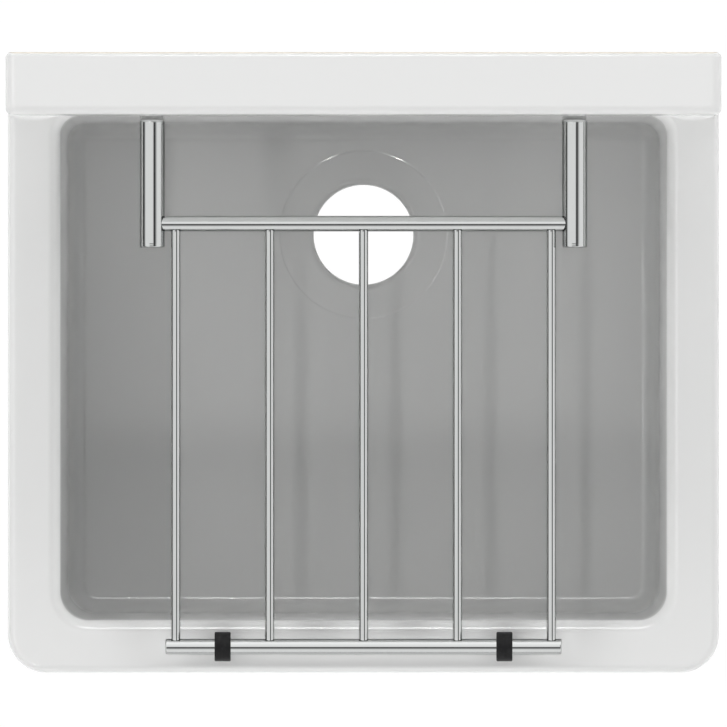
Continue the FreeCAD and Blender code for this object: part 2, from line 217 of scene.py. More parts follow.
# %% White glaze
def white_glaze():
    material, graph = new_finish("white_glaze")
    where = graph.place()
    cloud = graph.noise(where, 5.0, 3.0)
    wave = graph.noise(where, 14.0, 1.0)
    peel = graph.noise(where, 160.0)
    colour = graph.blend(cloud, (0.725, 0.728, 0.724, 1), (0.75, 0.751, 0.746, 1))
    relief = graph.relief(wave * 0.4 + peel * 0.03, 0.002, 0.0003)
    surface(graph, Base_Color=colour, Roughness=0.11 + cloud * 0.03, Normal=relief, IOR=1.52)
    return material


GLAZE = white_glaze()
print("glaze:", len(GLAZE.node_tree.nodes), "nodes")

# %% [markdown]
# ## Bare fireclay
# The wall side, the foot and the hollow inside carry no glaze. Fired clay is buff, dull and sandy, with
# dark specks of grog. Noise would only give clouds, so a Voronoi texture gives the specks: each one is
# the middle of a cell.

# %% Bare fireclay
def bare_fireclay():
    material, graph = new_finish("bare_fireclay")
    where = graph.place()
    cloud = graph.noise(where, 18.0, 4.0)
    grit = graph.noise(where, 900.0, 2.0, 0.7)
    speck = graph.node("ShaderNodeTexVoronoi", None, {"Vector": where, "Scale": 420.0})
    body = graph.blend(cloud, (0.62, 0.55, 0.45, 1), (0.72, 0.67, 0.58, 1))
    colour = graph.blend((1 - speck.eased(0.10, 0.22)) * 0.55, body, (0.24, 0.18, 0.13, 1))
    relief = graph.relief(grit, 0.35, 0.0004)
    surface(graph, Base_Color=colour, Roughness=0.78 + grit * 0.15, Normal=relief)
    return material


CLAY = bare_fireclay()
print("clay:", len(CLAY.node_tree.nodes), "nodes")

# %% [markdown]
# ## Chrome
# The tubes are steel, polished and plated. Chrome is a cool grey mirror, so most of its look comes from
# what stands round it. A fine grain is left by the polishing, and a faint haze of water marks changes the
# gloss here and there. A perfect mirror would be simpler, but it looks unreal close up, so three noises
# disturb it. The dark specular tint keeps the edges of a tube, seen at a slant, from turning white.

# %% Chrome
def chrome():
    material, graph = new_finish("chrome")
    where = graph.place()
    haze = graph.noise(where, 35.0, 3.0)
    marks = graph.noise(where, 240.0)
    polish = graph.noise(where, 2600.0, 1.0)
    colour = graph.blend(haze, (0.60, 0.615, 0.61, 1), (0.65, 0.66, 0.655, 1))
    relief = graph.relief(polish, 0.03, 0.0001)
    roughness = 0.045 + haze * 0.05 + marks.eased(0.62, 0.75) * 0.05
    surface(graph, Base_Color=colour, Metallic=1.0, Roughness=roughness, Normal=relief,
            Specular_Tint=(0.1, 0.1, 0.1, 1))
    return material


CHROME = chrome()
print("chrome:", len(CHROME.node_tree.nodes), "nodes")

# %% [markdown]
# ## Rubber
# Moulded rubber has a dull sheen and a fine, sparse grain, and dust sits in it unevenly. The buffers are
# almost black. The seals where the arms meet the panel are a pale grey, so one function makes both.

# %% Black and grey rubber
def moulded_rubber(name, dark, light):
    material, graph = new_finish(name)
    where = graph.place()
    dust = graph.noise(where, 220.0, 4.0, 0.65)
    grain = graph.noise(where, 1900.0)
    colour = graph.blend(dust.eased(0.45, 0.8), dark, light)
    relief = graph.relief(grain, 0.25, 0.0002)
    surface(graph, Base_Color=colour, Roughness=0.42 + dust * 0.2, Normal=relief, Specular_IOR_Level=0.2)
    return material


RUBBER = moulded_rubber("black_rubber", (0.007, 0.007, 0.0075, 1), (0.02, 0.02, 0.021, 1))
GREY_RUBBER = moulded_rubber("grey_rubber", (0.34, 0.345, 0.34, 1), (0.46, 0.465, 0.46, 1))
print("rubber:", len(RUBBER.node_tree.nodes), "nodes")

# %% [markdown]
# ## Hidden hardware: nylon, brass and plated steel
# These sit inside the arms and behind the panel. They still need honest finishes, because the grate
# folds away and the back of the sink can be seen before it is hung. Brass and steel differ only in colour
# and roughness, so one function makes both.

# %% Nylon, brass and zinc-plated steel
def turned_metal(name, dark, light, roughness):
    material, graph = new_finish(name)
    where = graph.place()
    stain = graph.noise(where, 120.0, 4.0)
    relief = graph.relief(graph.noise(where, 1500.0, 1.0), 0.1, 0.0001)
    surface(graph, Base_Color=graph.blend(stain, dark, light), Metallic=1.0, Normal=relief,
            Roughness=roughness + stain * 0.2)
    return material


def natural_nylon():
    material, graph = new_finish("natural_nylon")
    cloud = graph.noise(graph.place(), 150.0, 3.0)
    colour = graph.blend(cloud, (0.70, 0.68, 0.61, 1), (0.80, 0.78, 0.72, 1))
    relief = graph.relief(cloud, 0.1, 0.0001)
    surface(graph, Base_Color=colour, Roughness=0.38 + cloud * 0.15, Normal=relief)
    return material


NYLON = natural_nylon()
BRASS = turned_metal("turned_brass", (0.55, 0.38, 0.14, 1), (0.72, 0.53, 0.24, 1), 0.22)
STEEL = turned_metal("zinc_plated_steel", (0.46, 0.47, 0.48, 1), (0.62, 0.62, 0.60, 1), 0.25)
print("brass and steel:", len(BRASS.node_tree.nodes), "nodes each")

# %% [markdown]
# ## Finishes on the CAD meshes
# Pieces that stay hidden or small keep their CAD mesh, and only need a finish. The record names a
# material slot for every node, so one table from slot to finish dresses them all.

# %% One finish for each CAD node
FINISH_OF = {"glaze": GLAZE, "chrome": CHROME, "rubber": RUBBER, "nylon": NYLON, "brass": BRASS,
             "steel": STEEL}
FINISH_OF_NODE = {"left_arm_seal": GREY_RUBBER, "right_arm_seal": GREY_RUBBER}
for part in frame["record"]["subparts"]:
    node = frame["nodes"][part["node"]]
    node.data.materials.clear()
    node.data.materials.append(FINISH_OF_NODE.get(part["node"], FINISH_OF[part["material_slot"]]))
print("finishes on", len(frame["nodes"]), "CAD nodes")

# %% [markdown]
# ## Outlines
# A box with bevels would be a quick sink, but its walls couldn't lean, or turn into a round drain. So the
# casting is a skin over a stack of rounded rectangles. Each ring has the same number of points, so
# neighbouring rings join with clean four-sided faces, and every rounding is just a few rings. The sizes
# of the pieces are in millimetres.

# %% Rounded rectangles
CORNER_STEPS = 14
SIDE_STEPS = (44, 36, 60, 36)


def outline(half, front, back, front_radius, back_radius):
    """A rounded rectangle, from the front left corner anticlockwise as seen from above."""
    corners = ((-half + front_radius, front + front_radius, front_radius, 180),
               (half - front_radius, front + front_radius, front_radius, 270),
               (half - back_radius, back - back_radius, back_radius, 0),
               (-half + back_radius, back - back_radius, back_radius, 90))
    arcs = []
    for x, y, radius, start in corners:
        turn = np.radians(start + np.linspace(0, 90, CORNER_STEPS + 1))
        arcs.append(np.column_stack([x + radius * np.cos(turn), y + radius * np.sin(turn)]))
    points = []
    for i, arc in enumerate(arcs):
        share = np.linspace(0, 1, SIDE_STEPS[i] + 1)[1:-1, None]
        points += [arc, arc[-1] * (1 - share) + arcs[(i + 1) % len(arcs)][0] * share]
    return np.vstack(points)


def at_height(flat, z):
    """Lays an outline at a height above the rim."""
    return np.column_stack([flat, np.full(len(flat), z + RIM_Z)])


print("points in a ring:", len(SIDE_STEPS) * CORNER_STEPS + sum(SIDE_STEPS))

# %% [markdown]
# ## Meshes from rings
# Blender shades a mesh smoothly if its faces say so, and an edge stays crisp where its two faces meet at
# more than a chosen angle. One function joins rings to a skin, and caps it or closes it in a loop.

# %% Skins
SHARP = 35


def smooth(made, sharp=SHARP):
    """Smooth shading, with crisp edges above an angle in degrees."""
    mesh = made.data
    mesh.polygons.foreach_set("use_smooth", [True] * len(mesh.polygons))
    mesh.set_sharp_from_angle(angle=math.radians(sharp))
    mesh.update()


def build_mesh(name, points, faces, finishes, kinds, sharp=SHARP):
    """A smooth mesh object. The kinds say which finish each face takes."""
    mesh = bpy.data.meshes.new(name)
    mesh.from_pydata((np.asarray(points) * MM).tolist(), [], faces)
    for finish in finishes:
        mesh.materials.append(finish)
    mesh.polygons.foreach_set("material_index", kinds)
    made = bpy.data.objects.new(name, mesh)
    scene.collection.objects.link(made)
    smooth(made, sharp)
    return made


def skin(name, stack, finishes, stack_kinds=None, closed=False, sharp=SHARP):
    """Joins each ring to the next. A closed skin joins the last to the first; an open one is capped."""
    count = len(stack[0])
    points = np.vstack(stack)
    faces, kinds = [], []
    for i in range(len(stack) if closed else len(stack) - 1):
        a, b = i * count, (i + 1) % len(stack) * count
        for j in range(count):
            k = (j + 1) % count
            faces.append((a + j, a + k, b + k, b + j))
            kinds.append(stack_kinds[i] if stack_kinds else 0)
    if not closed:
        faces += [tuple(reversed(range(count))), tuple(range(len(points) - count, len(points)))]
        kinds += [kinds[0], kinds[-1]]
    return build_mesh(name, points, faces, finishes, kinds, sharp)


print("edges stay crisp above", SHARP, "degrees")

# %% [markdown]
# ## The basin's rings
# The path starts at the foot and goes up the outside, over the rim, down into the bowl, across the floor
# and through the drain, then back up the hidden side. Heights are measured from the rim. Walls lean in a
# little, as a casting has to, so that it leaves its mould. So a wall is a pair of outlines, at the rim and
# further down: half the width, the front, the back, and the radius of the front and back corners.

# %% Helpers for walls and roundings
BASE, FLOOR = -235.0, -185.0
OUTSIDE = ((230, -400, 0, 25, 5.5), (224, -394, 0, 25, 5.5))
MOUTH = ((196, -366, -40, 18.5, 12), (192.3, -362.3, -43.7, 18.5, 13))
LEAST_RADIUS = 0.4
GLAZED, BARE = 0, 1
rings, ring_kinds = [], []


def leaning(wall, z, low):
    """The outline of a leaning wall at a height."""
    share = z / low
    return [a + (b - a) * share for a, b in zip(*wall)]


def grown(sizes, by):
    """The sizes of an outline that lies outside another by a distance."""
    half, front, back, front_radius, back_radius = sizes
    return (half + by, front - by, back + by,
            max(front_radius + by, LEAST_RADIUS), max(back_radius + by, LEAST_RADIUS))


def add(flat, z, kind=GLAZED):
    """One more ring on the path."""
    rings.append(at_height(flat, z))
    ring_kinds.append(kind)


def add_wall(wall, low, heights, kind=GLAZED):
    """Rings of a leaning wall at some heights."""
    for z in heights:
        add(outline(*leaning(wall, z, low)), z, kind)


def quarter(steps=9):
    """The angles of a quarter turn."""
    return np.radians(np.linspace(0, 90, steps))


def add_rounding(wall, low, level, rise, inset, turns, kind=GLAZED):
    """A rounding at a level: rise is its height, inset its width, and their signs say on which side."""
    for turn in turns:
        z = level + rise * (1 - math.sin(turn))
        add(outline(*grown(leaning(wall, z, low), -inset * (1 - math.cos(turn)))), z, kind)


print("casting", 2 * OUTSIDE[0][0], "mm wide, bowl", -FLOOR, "mm deep")

# %% [markdown]
# ## Outside, rim and bowl
# The rim is rounded more on the side of the bowl than outside. A ring close to each end of the flat rim
# keeps its shading flat. Down in the bowl the wall turns into the floor in a tall, slim cove. An ellipse
# suits it better than a circle: from above it hardly shows.

# %% From the foot to the bowl's floor
FOOT_R, OUTER_R, MOUTH_R = 3.0, 5.0, 8.0
COVE_WIDTH, COVE_RISE = 11.2, 24.0
STRAIGHT_MOUTH = (MOUTH[0], MOUTH[0])
add_rounding(OUTSIDE, BASE, BASE, FOOT_R, FOOT_R, quarter(5)[::-1])
add_wall(OUTSIDE, BASE, (BASE + 20, BASE + 80, BASE + 150, -40, -12))
add_rounding(OUTSIDE, BASE, 0, -OUTER_R, OUTER_R, quarter())
rim_out = outline(*grown(OUTSIDE[0], -OUTER_R))
rim_in = outline(*grown(MOUTH[0], MOUTH_R))
for share in (0.03, 0.25, 0.5, 0.75, 0.97):
    add(rim_out * (1 - share) + rim_in * share, 0)
add_rounding(STRAIGHT_MOUTH, FLOOR, 0, -MOUTH_R, -MOUTH_R, quarter(13)[::-1])
add_wall(MOUTH, FLOOR, (-9.5, -40, -80, -120, FLOOR + COVE_RISE + 2))
add_rounding(MOUTH, FLOOR, FLOOR, COVE_RISE, COVE_WIDTH, quarter(25))
print(len(rings), "rings down to the floor")

# %% [markdown]
# ## Floor, dish and drain
# The floor has to turn from a rectangle into a circle. Each point of the floor's edge looks towards the
# drain, and the circle takes its points at those same angles, so no face is twisted. Round the drain lies
# a very shallow dish with a fine crease at its edge, and the glaze rolls softly into the hole.

# %% Floor, dish and drain hole
DRAIN = np.array([0.0, -116.0])
DISH = ((56.0, 0.0), (55.2, -0.01), (54.9, -0.04), (54.6, -0.11), (54.3, -0.18), (54.0, -0.22),
        (53.0, -0.26), (50.5, -0.36), (44.0, -0.62), (38.0, -0.86), (36.2, -0.94), (35.6, -1.08),
        (34.8, -1.45), (33.7, -2.2), (32.8, -3.3), (32.5, -4.4), (32.5, -12.0), (32.5, -20.6),
        (32.7, -21.3), (33.3, -21.8), (34.0, -22.0))
floor_edge = rings[-1][:, :2]
facing = np.arctan2(*(floor_edge - DRAIN).T[::-1])
spokes = np.column_stack([np.cos(facing), np.sin(facing)])


def circle(radius):
    """A ring round the drain, with its points in line with those of the floor's edge."""
    return DRAIN + spokes * radius


for share in (0.01, 0.3, 0.6, 0.85):
    add(floor_edge * (1 - share) + circle(DISH[0][0]) * share, FLOOR)
for radius, drop in DISH:
    add(circle(radius), FLOOR + drop)
ring_kinds[-1] = BARE
print("drain hole", 2 * min(radius for radius, drop in DISH), "mm across")

# %% [markdown]
# ## The hidden side
# Under the floor a thick boss stands round the drain. From there the path goes out under the floor, up
# between bowl and skirt to the underside of the rim, and down the inside of the skirt to the foot, where
# it meets its start. None of this is glazed.

# %% Underside and the inside of the skirt
FLOOR_THICK, RIM_THICK = 14.0, 14.0
UNDER_R, WEB_R = 10.0, 5.0
UNDER = ((206, -376, -28, 28.5, 22), (202.3, -372.3, -31.7, 28.5, 22))
HOLLOW = ((218, -388, -14, 13, 6), (212, -382, -14, 13, 6))
DRAIN_BOSS = ((40.0, -22.0), (46.4, -22.0), (47.4, -21.7), (48.0, -21.0), (48.0, -16.0),
              (48.6, -14.6), (50.0, -14.0))
underside = FLOOR - FLOOR_THICK
for radius, drop in DRAIN_BOSS:
    add(circle(radius), FLOOR + drop, BARE)
under_edge = outline(*grown(leaning(UNDER, underside, FLOOR), -UNDER_R))
for share in (0.35, 0.7, 0.99):
    add(circle(DRAIN_BOSS[-1][0]) * (1 - share) + under_edge * share, underside, BARE)
add_rounding(UNDER, FLOOR, underside, UNDER_R, UNDER_R, quarter(7)[::-1], BARE)
add_wall(UNDER, FLOOR, (-150, -90, -RIM_THICK - WEB_R - 1), BARE)
add_rounding(UNDER, FLOOR, -RIM_THICK, -WEB_R, -WEB_R, quarter(5), BARE)
add_rounding(HOLLOW, BASE, -RIM_THICK, -WEB_R, WEB_R, quarter(5)[::-1], BARE)
add_wall(HOLLOW, BASE, (-40, -120, BASE + FOOT_R + 2), BARE)
add_rounding(HOLLOW, BASE, BASE, FOOT_R, -FOOT_R, quarter(5), BARE)
basin = skin("basin_casting", rings, [GLAZE, CLAY], ring_kinds, closed=True)
print("casting", len(rings), "rings of", len(rings[0]), "points")

# %% [markdown]
# ## Cutting and joining
# The panel, the open back and the holes cross the rings, so they are joined on and cut out afterwards
# with exact booleans. The tools keep their own finish number: a cut at the back shows bare clay.

# %% Boolean helper
def carve(target, tool, operation):
    """Joins a tool to a piece or cuts it out of it, and throws the tool away."""
    step = target.modifiers.new(operation.lower(), "BOOLEAN")
    step.operation, step.object, step.solver = operation, tool, "EXACT"
    bpy.context.view_layer.update()
    shape = bpy.data.meshes.new_from_object(target.evaluated_get(bpy.context.evaluated_depsgraph_get()))
    target.modifiers.clear()
    old, target.data = target.data, shape
    bpy.data.meshes.remove(old)
    bpy.data.objects.remove(tool)


print("before any cut:", len(basin.data.polygons), "faces")

# %% [markdown]
# ## Back panel
# The panel is as wide as the sink and rises behind the bowl. It is a skin of its own, because a ring round
# the bowl can't rise on one side only. Its top edges are rounded more at the front and the sides than
# against the wall. Its foot is buried in the casting, a hair inside, so no step shows.

# %% Back panel
PANEL_TOP, PANEL_FRONT = 140.0, -40.0
HALF_WIDTH = OUTSIDE[0][0]
HAIR_SIDE, HAIR_BACK = 0.04, 0.05
BURIED_CORNERS, FRONT_CORNER, BACK_CORNER = (4.5, 5.2), 4.0, 3.6
ROUND_SIDE, ROUND_FRONT, ROUND_BACK = 6.0, 5.5, 2.5
TOP_FACE = (223.2, -33.8, -3.2, 2.5, 2.7)
panel_rings = []
for z in (-20.0, -12.0, -4.0):
    half = leaning(OUTSIDE, z, BASE)[0] - HAIR_SIDE
    panel_rings.append(at_height(outline(half, PANEL_FRONT, -HAIR_BACK, *BURIED_CORNERS), z))
for z in (0.5, 40.0, 90.0, 128.0):
    panel_rings.append(at_height(outline(HALF_WIDTH, PANEL_FRONT, 0, FRONT_CORNER, BACK_CORNER), z))
for turn in quarter():
    off = 1 - math.cos(turn)
    flat = outline(HALF_WIDTH - ROUND_SIDE * off, PANEL_FRONT + ROUND_FRONT * off, -ROUND_BACK * off,
                   FRONT_CORNER - off, BACK_CORNER - off)
    panel_rings.append(at_height(flat, PANEL_TOP - ROUND_FRONT * (1 - math.sin(turn))))
panel_rings.append(at_height(outline(*TOP_FACE), PANEL_TOP))
carve(basin, skin("panel", panel_rings, [GLAZE, CLAY]), "UNION")
print("panel joined:", len(basin.data.polygons), "faces")

# %% [markdown]
# ## Soft corner between rim and panel
# Glaze gathers in an inside corner and rounds it. A narrow concave strip is laid along each side rim,
# and it thins away at both ends. It is a skin too: each ring is the strip's outline at one place.

# %% Concave strips along the panel's foot
STRIP = ((198.0, 0.3), (201.0, 1.2), (204.0, 2.4), (208.0, 3.3), (213.0, 3.6), (219.0, 3.3),
         (223.0, 2.2), (225.5, 0.8), (226.5, 0.3))
STRIP_BACK, STRIP_LOW = PANEL_FRONT + 1.0, -1.5


def corner_strip(name, sign):
    """The strip on one side: the sign is -1 on the left and 1 on the right."""
    slices = []
    for x, radius in STRIP if sign > 0 else STRIP[::-1]:
        turn = quarter()
        y = PANEL_FRONT - radius * (1 - np.sin(turn))
        z = radius * (1 - np.cos(turn))
        edge = [(STRIP_BACK, STRIP_LOW), (PANEL_FRONT - radius, STRIP_LOW), *zip(y, z),
                (STRIP_BACK, radius)]
        slices.append(np.array([(sign * x, across, height + RIM_Z) for across, height in edge]))
    return skin(name, slices, [GLAZE, CLAY], sharp=40)


carve(basin, corner_strip("left_strip", -1), "UNION")
carve(basin, corner_strip("right_strip", 1), "UNION")
print("corner strips joined:", len(basin.data.polygons), "faces")

# %% [markdown]
# ## Open back
# Behind, the casting is hollow, so that pipes and nuts can be reached. A block with the outline of the
# opening cuts it out. The block is bare clay, so the walls that it leaves are bare too.

# %% Open back
BACK_OPENING = ((-211.8, BASE - 2), (211.8, BASE - 2), (217.8, -14), (218, 126), (-218, 126),
                (-217.8, -14))
PANEL_INNER, PAST_WALL = -28.0, 2.0
count = len(BACK_OPENING)
near = [(x, PANEL_INNER, z + RIM_Z) for x, z in BACK_OPENING]
far = [(x, PAST_WALL, z + RIM_Z) for x, z in BACK_OPENING]
sides = [(i, i + count, (i + 1) % count + count, (i + 1) % count) for i in range(count)]
ends = [tuple(range(count)), tuple(range(2 * count - 1, count - 1, -1))]
block = build_mesh("back_opening", near + far, ends + sides, [GLAZE, CLAY], [BARE] * (count + 2))
carve(basin, block, "DIFFERENCE")
print("back opened:", len(basin.data.polygons), "faces")

# %% [markdown]
# ## Bosses and holes
# Two thick bosses stand in the hollow of the panel and take the wall bolts. They are turned pieces, so a
# lathe function makes them from a profile, and it makes the drills for the holes as well. A bolt hole has
# a softened mouth, as glazed holes have. A stud hole is hidden by its seal and stays plain.

# %% Lathe, bolt bosses and holes
BOLT_X, BOLT_R, ARM_X, STUD_R = 140.0, 7.0, 136.5, 6.0
BOSS_START, HOLE_LENGTH = -29.0, 44.0
BOSS = ((0, 25), (2.0, 22.8), (4.5, 22), (27.0, 22), (28.6, 21), (29.0, 20))
SOFT_MOUTH = ((-1.0, 3.0), (0.0, 2.4), (0.4, 1.4), (1.1, 0.6), (2.2, 0.1), (3.0, 0.0))
BACKWARDS = (0, 1, 0)


def lathe(name, profile, start, direction, finishes, segments=72, kind=0, closed=False, sharp=SHARP):
    """A turned piece: the profile is pairs of distance along the axis and radius."""
    along = Vector(direction).normalized()
    side = along.orthogonal().normalized()
    turn = np.linspace(0, 2 * np.pi, segments, endpoint=False)[:, None]
    round_points = np.cos(turn) * np.array(side) + np.sin(turn) * np.array(along.cross(side))
    turned = [np.array(start) + distance * np.array(along) + radius * round_points
              for distance, radius in profile]
    return skin(name, turned, finishes, [kind] * len(turned), closed, sharp)


for x in (-BOLT_X, BOLT_X):
    boss = lathe("boss", BOSS, (x, BOSS_START, 0.0), BACKWARDS, [GLAZE, CLAY], segments=64, kind=BARE)
    carve(basin, boss, "UNION")
bolt_hole = [(depth, BOLT_R + more) for depth, more in SOFT_MOUTH] + [(HOLE_LENGTH, BOLT_R)]
stud_hole = [(SOFT_MOUTH[0][0], STUD_R), (HOLE_LENGTH, STUD_R)]
for middle, z, profile in ((BOLT_X, 0.0, bolt_hole), (ARM_X, GRATE_Z, stud_hole)):
    for x in (-middle, middle):
        drill = lathe("hole", profile, (x, PANEL_FRONT, z), BACKWARDS, [GLAZE, CLAY], segments=48)
        carve(basin, drill, "DIFFERENCE")
print("bosses and holes:", len(basin.data.polygons), "faces")

# %% [markdown]
# ## Finishing the casting
# Booleans can leave points that almost coincide. They are merged, and the mesh is tested for open edges.
# What lies flat against the wall gets the bare finish. Then the casting is tied to its body and takes the
# place of its CAD node. All later pieces do the same.

# %% Merge, bare wall side and hand-over of the casting
MERGE, WALL_PLANE = 4e-6, -0.0006  # metres, as in the finished mesh
FACING_WALL, CASTING_SHARP = 0.9, 38


def dress(made, body, finish_slot, *nodes):
    """The piece rides on its body and stands for its CAD nodes."""
    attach(made, body)
    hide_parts(*nodes)


merged = bmesh.new()
merged.from_mesh(basin.data)
bmesh.ops.remove_doubles(merged, verts=merged.verts, dist=MERGE)
bmesh.ops.dissolve_degenerate(merged, edges=merged.edges, dist=MERGE)
print("open edges in the casting:", sum(not edge.is_manifold for edge in merged.edges))
merged.to_mesh(basin.data)
merged.free()
smooth(basin, CASTING_SHARP)
for face in basin.data.polygons:
    if face.normal.y > FACING_WALL and face.center.y > WALL_PLANE:
        face.material_index = BARE
dress(basin, "sink", "glaze", "basin")
print("basin:", len(basin.data.vertices), "points,", len(basin.data.polygons), "faces")

# %% [markdown]
# ## Arms
# Each arm is a short length of tube standing straight out of the panel, closed by a turned cap. A fine
# line shows where the cap sits. The side that faces the grate has a hole for the pivot tube. Tube and cap
# come from the lathe, and the hole is cut afterwards, because it crosses the rings.

# %% Chromed arms and caps
ARM_R, SEAM_R, ARM_BACK, ARM_END, CAP_LENGTH = 8.0, 7.98, -42.0, -125.0, 2.0
TUBE_R, TUBE_HOLE_R = 5.0, 5.3
DRILL_START, DRILL_LENGTH = 3.0, 7.0
FORWARDS = (0, -1, 0)
tube_length = ARM_BACK - ARM_END - CAP_LENGTH
ARM = ((0, 6.6), (0.1, 7.1), (0.35, 7.55), (0.75, 7.85), (1.3, ARM_R), (2.2, ARM_R),
       (tube_length - 1, ARM_R), (tube_length - 0.1, ARM_R), (tube_length, SEAM_R))
CAP = ((0, SEAM_R), (0.1, ARM_R), (1.1, ARM_R), (1.45, 7.92), (1.75, 7.7), (1.93, 7.35),
       (CAP_LENGTH, 6.9), (CAP_LENGTH, 5.0))
for side, sign in (("left", -1), ("right", 1)):
    x = sign * ARM_X
    arm = lathe(f"{side}_arm_tube", ARM, (x, ARM_BACK, GRATE_Z), FORWARDS, [CHROME], segments=96)
    drill = lathe("hole", ((0, TUBE_HOLE_R), (DRILL_LENGTH, TUBE_HOLE_R)),
                  (x - sign * DRILL_START, PIVOT_Y, GRATE_Z), (-sign, 0, 0), [CHROME], segments=64)
    carve(arm, drill, "DIFFERENCE")
    smooth(arm)
    dress(arm, "sink", "chrome", f"{side}_arm")
    cap = lathe(f"{side}_arm_end", CAP, (x, ARM_END + CAP_LENGTH, GRATE_Z), FORWARDS, [CHROME],
                segments=96)
    dress(cap, "sink", "chrome", f"{side}_arm_cap")
print("arms from", ARM_BACK, "to", ARM_END, "mm")

# %% [markdown]
# ## Cross tubes
# The grate has two cross tubes. The pivot tube is open and ends inside the arms. The front tube is closed
# by plugs: a fine turned groove shows where the plug meets the tube. A curve with a round bevel would give
# a tube too, but not the shape of its ends, so these are turned, and one profile makes both ends.

# %% Pivot tube and front tube
FRONT_Y, FRONT_HALF, PIVOT_HALF = -383.0, 128.0, 131.0
PLUGGED_END = ((0, 3.3), (0.12, 3.42), (0.12, 3.58), (0, 3.7), (0, 4.3), (0.12, 4.65), (0.4, 4.9),
               (0.8, TUBE_R), (1.3, TUBE_R))
OPEN_END = ((0, 3.5), (0, 4.9), (0.1, TUBE_R), (0.6, TUBE_R))
SIDEWAYS = (1, 0, 0)


def mirrored_profile(end, length, radius):
    """The same end on both sides of a straight middle."""
    return [*end, (length / 2, radius), *((length - distance, r) for distance, r in reversed(end))]


pivot_profile = mirrored_profile(OPEN_END, 2 * PIVOT_HALF, TUBE_R)
pivot_tube = lathe("grate_pivot_tube", pivot_profile, (-PIVOT_HALF, PIVOT_Y, GRATE_Z), SIDEWAYS, [CHROME],
                   closed=True)
dress(pivot_tube, "grate", "chrome", "pivot_tube")
front_profile = mirrored_profile(PLUGGED_END, 2 * FRONT_HALF, TUBE_R)
front_tube = lathe("grate_front_tube", front_profile, (-FRONT_HALF, FRONT_Y, GRATE_Z), SIDEWAYS, [CHROME])
dress(front_tube, "grate", "chrome", "front_tube", "left_tube_plug", "right_tube_plug")
print("cross tubes", 2 * PIVOT_HALF, "and", 2 * FRONT_HALF, "mm long")

# %% [markdown]
# ## Bars
# Five bars run between the two cross tubes and are welded to them. A weld flows: where a bar meets a tube
# it flares out a little. No bead shows in the photograph, so the flare is part of the bar's own profile,
# and its wide end is buried in the tube.

# %% Bars with weld flares
BARS, PITCH, BAR_R = 5, 60.7, 3.0
WELD = ((2.8, 3.12), (4.0, 3.1), (4.6, 3.05), (5.2, 3.01), (5.8, BAR_R), (7.0, BAR_R))
span = PIVOT_Y - FRONT_Y
for i in range(BARS):
    x = PITCH * (i - BARS // 2)
    bar = lathe(f"grate_bar_{i + 1}", mirrored_profile(WELD, span, BAR_R), (x, PIVOT_Y, GRATE_Z), FORWARDS,
                [CHROME], segments=56)
    dress(bar, "grate", "chrome", f"bar_{i + 1}")
print("bars every", PITCH, "mm over", round(span, 1), "mm")

# %% [markdown]
# ## Buffers
# Two rubber rings are stretched on to the front tube, and land on the rim. A torus would be too round, so
# they are turned from a profile with flat faces. A fine parting line from the mould runs round the middle,
# and the edges are only just broken.

# %% Rubber buffers
BUFFER_X, BUFFER_HALF = 1.5 * PITCH, 5.2
BUFFER = ((0, 5.02), (0, 8.6), (0.12, 9.1), (0.45, 9.4), (0.95, 9.5), (4.95, 9.5), (5.08, 9.44),
          (5.32, 9.44), (5.45, 9.5), (9.45, 9.5), (9.95, 9.4), (10.28, 9.1), (10.4, 8.6), (10.4, 5.02))
for side, sign in (("left", -1), ("right", 1)):
    buffer = lathe(f"{side}_rubber_ring", BUFFER, (sign * BUFFER_X - BUFFER_HALF, FRONT_Y, GRATE_Z),
                   SIDEWAYS, [RUBBER], segments=80, closed=True, sharp=50)
    dress(buffer, "grate", "rubber", f"{side}_buffer")
print("buffers at", round(BUFFER_X, 2), "mm each side")

# %% [markdown]
# ## Floor
# The photograph has a plain white ground. The floor lies far below, as under a sink on a wall. It is
# nearly white to the camera, and to the chrome and the glaze that mirror it, but for the light itself it
# is grey paper, so it throws little light back up and still takes the object's shadow. The sizes of the
# floor and of the lamps are in metres.

# %% White floor
GROUND_Z, GROUND_HALF = -0.80, 6
GROUND_WHITE, GROUND_SHARE, PAPER = 1.095, 0.86, (0.55, 0.55, 0.55, 1)
WHITE = (1, 1, 1, 1)
floor_mesh = bpy.data.meshes.new("floor")
floor_corners = [(-GROUND_HALF, -GROUND_HALF, GROUND_Z), (GROUND_HALF, -GROUND_HALF, GROUND_Z),
                 (GROUND_HALF, GROUND_HALF, GROUND_Z), (-GROUND_HALF, GROUND_HALF, GROUND_Z)]
floor_mesh.from_pydata(floor_corners, [], [(0, 1, 2, 3)])
floor = bpy.data.objects.new("floor", floor_mesh)
scene.collection.objects.link(floor)
floor_material, graph = new_finish("pale_floor")
ray = graph.node("ShaderNodeLightPath")
seen = ray.other("Is Camera Ray").either(ray.other("Is Transmission Ray"))
seen = seen.either(ray.other("Is Glossy Ray"))
paper = graph.node("ShaderNodeBsdfDiffuse", None, {"Color": PAPER})
white = graph.node("ShaderNodeEmission", None, {"Color": WHITE, "Strength": GROUND_WHITE})
ground = graph.node("ShaderNodeMixShader", None, {0: seen * GROUND_SHARE, 1: paper, 2: white})
graph.node("ShaderNodeOutputMaterial", None, {"Surface": ground})
floor_mesh.materials.append(floor_material)
print("floor", -GROUND_Z, "m below the bolt holes")

# %% [markdown]
# ## Studio light for dull surfaces and for mirrors
# The inside of the bowl is much darker than the rim, so most light must come from low down, all round,
# and little from straight above. For dull surfaces the world is therefore a low bright ring. Mirrors see
# something else: a bright room with a few dark gaps, which draw the dark lines along the chrome. Straight
# to the camera the world is plain white.

